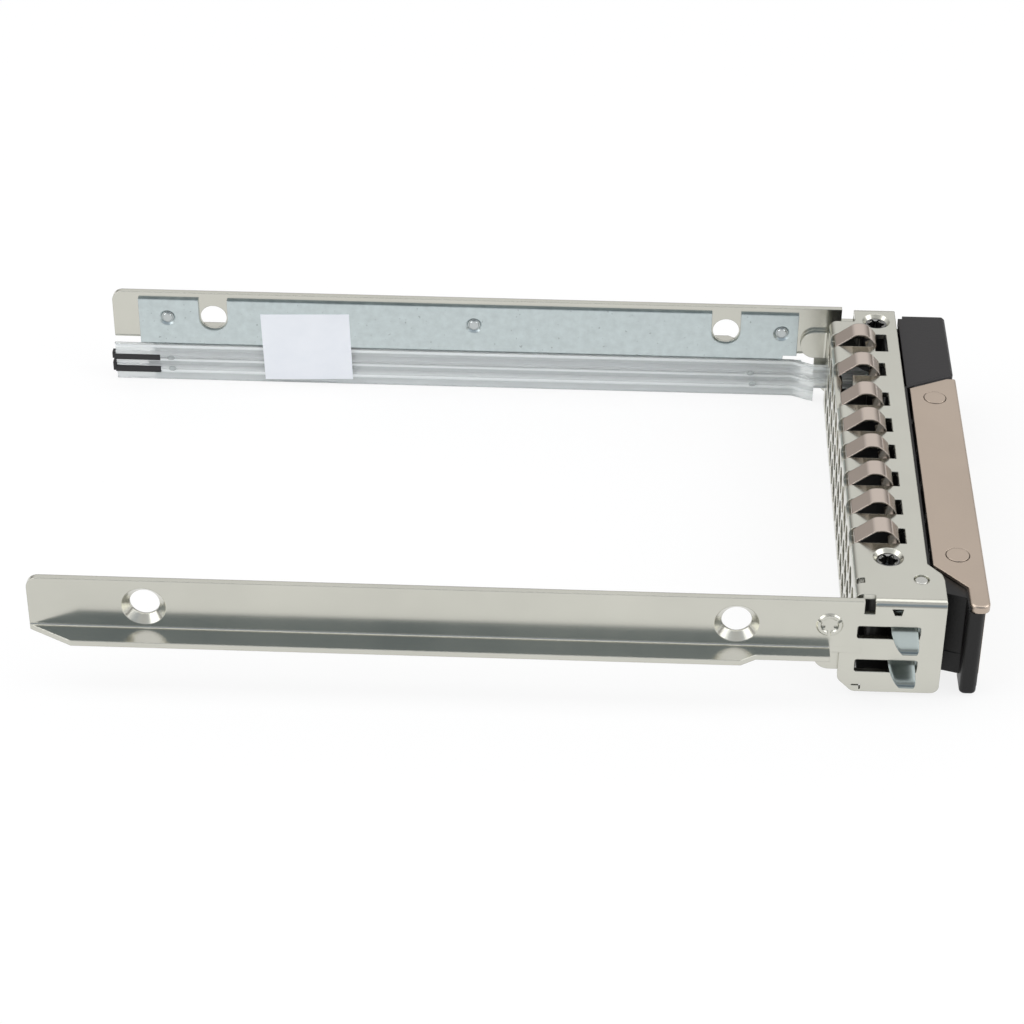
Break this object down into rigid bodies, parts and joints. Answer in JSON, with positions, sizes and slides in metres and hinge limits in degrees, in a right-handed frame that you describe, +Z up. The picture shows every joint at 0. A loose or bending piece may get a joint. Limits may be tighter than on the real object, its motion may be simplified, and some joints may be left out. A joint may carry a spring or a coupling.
{
  "type": "hot swap drive caddy",
  "caption": "Open sheet-metal tray that carries a small disk drive between two side rails, with sprung contact fingers, light pipes and a latched swing handle at the front.",
  "frame": {"origin": "middle of the caddy's bounding box from above, at the height of the lowest faces it rests on", "axes": "+X towards the handle at the front of the server, -X towards the drive's connector, +Y towards the rail with the light pipes, +Z up, away from the drive's underside"},
  "size_m": [0.1246, 0.0792, 0.017],
  "materials": {
    "nickel_steel": "light nickel-plated sheet steel, satin",
    "zinc_sheet": "cool grey zinc-plated sheet, satin",
    "rivet_metal": "plated rivets, satin",
    "clear_plastic": "clear moulded plastic, glossy",
    "black_plastic": "black moulded plastic, fine matt grain",
    "grey_plastic": "dark grey moulded plastic, fine matt grain",
    "label_paper": "blank white film, satin",
    "spring_strip": "bright warm spring strip, polished by rolling",
    "tab_strip": "bright spring strip",
    "screw_metal": "bright plated screws",
    "champagne_metal": "champagne-coloured coated sheet, fine satin",
    "pin_metal": "turned steel pin",
    "spring_wire": "drawn spring wire"
  },
  "bodies": {
    "caddy": {"frame": "nickel_steel", "light_pipe_carrier": "zinc_sheet", "carrier_rivets": "rivet_metal", "upper_light_pipe": "clear_plastic", "lower_light_pipe": "clear_plastic", "light_pipe_clip": "black_plastic", "label": "label_paper", "top_contact_strip": "spring_strip", "side_contact_strip": "tab_strip", "front_housing": "black_plastic", "housing_screws": "screw_metal", "pivot_pin": "pin_metal", "handle_spring": "spring_wire", "button_spring": "spring_wire", "latch_spring": "spring_wire"},
    "handle": {"handle_lever": "black_plastic", "handle_cover": "champagne_metal", "cover_rivets": "champagne_metal"},
    "button": {"release_button": "grey_plastic"},
    "latch": {"latch_slide": "black_plastic"}
  },
  "joints": [
    {"name": "handle_hinge", "type": "hinge", "parent": "caddy", "child": "handle", "pos_m": [0.05372, -0.03115, 0.0076], "axis": [0, 0, -1], "range_deg": [0, 30]},
    {"name": "button_press", "type": "slide", "parent": "caddy", "child": "button", "axis": [-1, 0, 0], "range_m": [0, 0.0009], "stiffness_N_per_m": 900, "springref_m": -0.001, "deforming": ["button_spring"]},
    {"name": "latch_draw", "type": "slide", "parent": "caddy", "child": "latch", "axis": [0, 1, 0], "range_m": [0, 0.0009], "stiffness_N_per_m": 300, "springref_m": -0.001, "deforming": ["latch_spring"]}
  ],
  "couplings": [
    {"joint": "latch_draw", "follows": "button_press", "ratio": 1}
  ]
}
